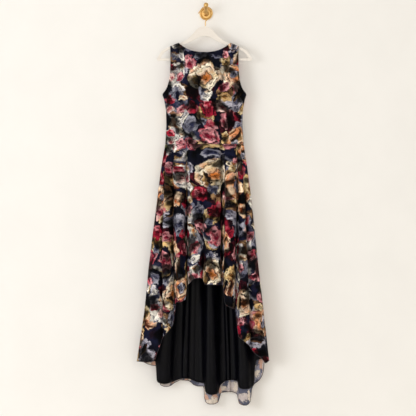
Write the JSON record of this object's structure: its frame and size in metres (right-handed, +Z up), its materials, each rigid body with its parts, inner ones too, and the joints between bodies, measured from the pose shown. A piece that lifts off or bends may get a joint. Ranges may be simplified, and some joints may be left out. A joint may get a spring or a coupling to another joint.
{
  "type": "high-low dress on a hanger and wall hook",
  "caption": "Sleeveless high-low dress with a printed outside and black back lining, hung flat on a hanger from a round wall hook.",
  "frame": {"origin": "centre of the wall hook plate's back face, where it meets the wall", "axes": "+Z up, the dress's front faces -Y, the wall is at Y = 0, +X to the right as seen from the front"},
  "size_m": [0.5552, 0.1447, 1.6908],
  "materials": {
    "printed_crepe": "soft matt, floral print on near-black",
    "black_lining": "soft satin",
    "cream_hanger": "satin lacquer",
    "polished_brass": "polished"
  },
  "bodies": {
    "root": {"bodice_front": "printed_crepe", "bodice_back_left": "printed_crepe", "bodice_back_right": "printed_crepe", "skirt_front": "printed_crepe", "skirt_back": "printed_crepe", "lining_back": "black_lining", "hanger_body": "cream_hanger", "hanger_hook": "polished_brass", "wall_hook_plate": "polished_brass", "wall_hook_arm": "polished_brass"}
  },
  "joints": []
}
